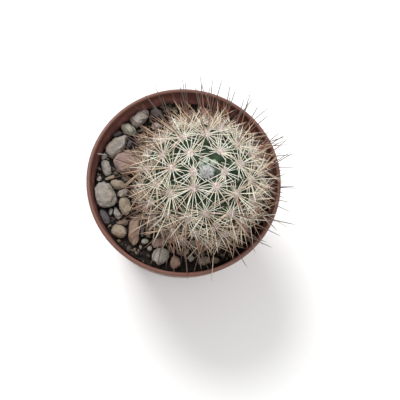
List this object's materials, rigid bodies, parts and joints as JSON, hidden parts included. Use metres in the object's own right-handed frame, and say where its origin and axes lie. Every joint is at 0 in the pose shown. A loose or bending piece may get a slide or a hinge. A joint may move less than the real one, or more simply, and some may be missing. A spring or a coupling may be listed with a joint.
{
  "type": "potted round cactus",
  "caption": "Small round cactus with pale radial needles and long dark central needles, in a round tapered plastic nursery pot with soil and a gravel top dressing.",
  "frame": {"origin": "middle of the pot's flat underside, on the ground", "axes": "+Z up along the pot's axis; seen from above +X is to the right and +Y up, with the plant standing off towards +X"},
  "size_m": [0.06, 0.0572, 0.0764],
  "materials": {
    "terracotta_plastic": "satin",
    "soil": "matte",
    "cactus_spines_and_skin": "satin",
    "stone_grey": "matte",
    "stone_pale": "matte",
    "stone_tan": "matte",
    "stone_pink": "matte",
    "stone_orange": "matte",
    "stone_brown": "matte",
    "stone_slate": "matte"
  },
  "bodies": {
    "root": {"pot": "terracotta_plastic", "soil": "soil", "stone_01": "stone_slate", "stone_02": "stone_grey", "stone_03": "stone_grey", "stone_04": "stone_brown", "stone_05": "stone_pale", "stone_06": "stone_slate", "stone_07": "stone_grey", "stone_08": "stone_slate", "stone_09": "stone_grey", "stone_10": "stone_pink", "stone_11": "stone_grey", "stone_12": "stone_grey", "stone_13": "stone_tan", "stone_14": "stone_tan", "stone_15": "stone_grey", "stone_16": "stone_tan", "stone_17": "stone_grey", "stone_18": "stone_grey", "stone_19": "stone_slate", "stone_20": "stone_brown", "stone_21": "stone_tan", "stone_22": "stone_orange", "stone_23": "stone_slate", "stone_24": "stone_brown", "stone_25": "stone_pale", "stone_26": "stone_pink", "stone_27": "stone_grey", "stone_28": "stone_grey", "stone_29": "stone_brown", "stone_30": "stone_pale", "stone_31": "stone_tan", "stone_32": "stone_brown", "stone_33": "stone_grey", "stone_34": "stone_tan", "stone_35": "stone_brown", "stone_36": "stone_grey", "stone_37": "stone_slate", "stone_38": "stone_orange", "stone_39": "stone_pink", "stone_40": "stone_grey", "stone_41": "stone_tan", "stone_42": "stone_brown", "stone_43": "stone_grey", "stone_44": "stone_slate", "stone_45": "stone_orange", "stone_46": "stone_pink", "stone_47": "stone_grey", "stone_48": "stone_tan", "stone_49": "stone_brown", "stone_50": "stone_grey", "stone_51": "stone_slate", "stone_52": "stone_orange", "stone_53": "stone_pink", "stone_54": "stone_grey", "stone_55": "stone_tan", "stone_56": "stone_brown", "cactus": "cactus_spines_and_skin"}
  },
  "joints": []
}
